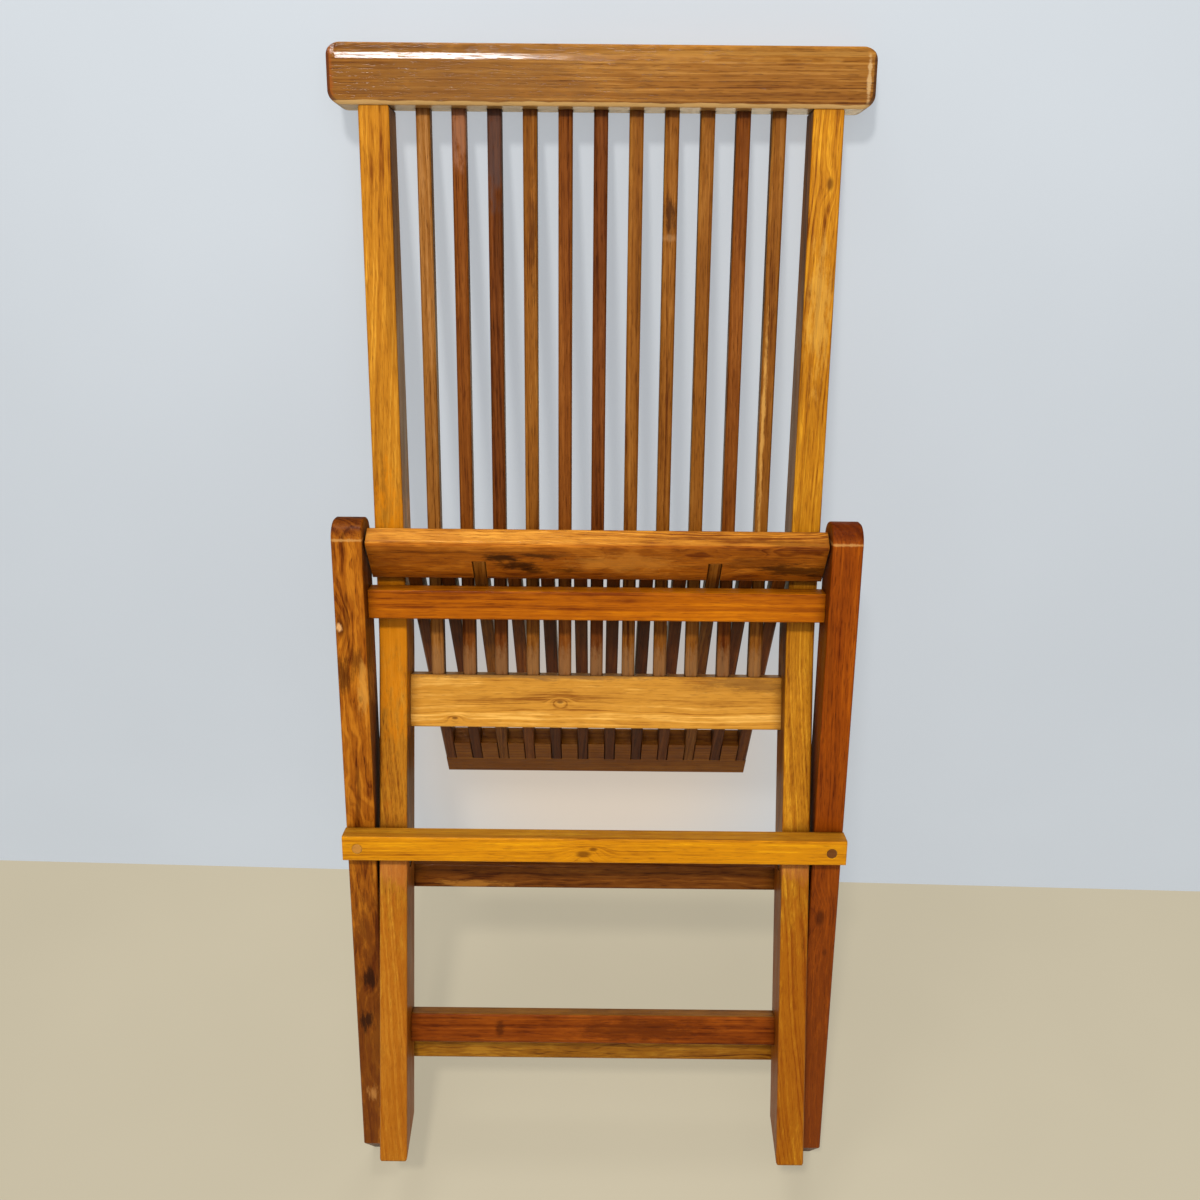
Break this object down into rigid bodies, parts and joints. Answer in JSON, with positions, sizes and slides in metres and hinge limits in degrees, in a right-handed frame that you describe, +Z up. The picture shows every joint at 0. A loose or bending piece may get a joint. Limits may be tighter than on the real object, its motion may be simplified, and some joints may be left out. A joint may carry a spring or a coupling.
{
  "type": "folding slatted chair",
  "caption": "Armless folding side chair in teak with a slatted back and slatted seat, folded flat and leaning back",
  "frame": {"origin": "on the floor, under the middle of the folded chair's bounding box", "axes": "+Z up, +X to the right as seen from the front of the leaning chair, +Y to the rear, toward the wall it leans on"},
  "size_m": [0.462, 0.452, 1.0113],
  "materials": {
    "teak": "satin",
    "teak_slats": "satin",
    "teak_seat": "satin",
    "peg_wood": "satin",
    "steel": "satin",
    "brass": "satin"
  },
  "bodies": {
    "back_frame": {"left_stile": "teak", "right_stile": "teak", "crest_rail": "teak", "back_slat_01": "teak_slats", "back_slat_02": "teak_slats", "back_slat_03": "teak_slats", "back_slat_04": "teak_slats", "back_slat_05": "teak_slats", "back_slat_06": "teak_slats", "back_slat_07": "teak_slats", "back_slat_08": "teak_slats", "back_slat_09": "teak_slats", "back_slat_10": "teak_slats", "back_slat_11": "teak_slats", "lower_back_rail": "teak", "front_stretcher": "teak"},
    "leg_frame": {"left_leg": "teak", "right_leg": "teak", "upper_leg_rail": "teak", "rear_stretcher": "teak", "front_bar": "teak", "rear_bar": "teak", "front_bar_pegs": "peg_wood", "rear_bar_pegs": "peg_wood", "pivot_bolts": "steel", "pivot_nuts": "steel", "pivot_washers": "brass"},
    "seat": {"seat_front_rail": "teak_seat", "seat_slat_01": "teak_seat", "seat_slat_02": "teak_seat", "seat_slat_03": "teak_seat", "seat_slat_04": "teak_seat", "seat_slat_05": "teak_seat", "seat_slat_06": "teak_seat", "seat_slat_07": "teak_seat", "seat_slat_08": "teak_seat", "seat_slat_09": "teak_seat", "seat_slat_10": "teak_seat", "seat_slat_11": "teak_seat", "seat_slat_12": "teak_seat", "seat_rear_rail": "teak_seat", "seat_hinge_pins": "steel"}
  },
  "joints": [
    {"name": "fold", "type": "hinge", "parent": "back_frame", "child": "leg_frame", "pos_m": [0, -0.06119, 0.33858], "axis": [1, 0, 0], "range_deg": [0, 62.2]},
    {"name": "seat_hinge", "type": "hinge", "parent": "leg_frame", "child": "seat", "pos_m": [0, 0.03429, 0.63141], "axis": [1, 0, 0], "range_deg": [-2.6, 4]}
  ]
}
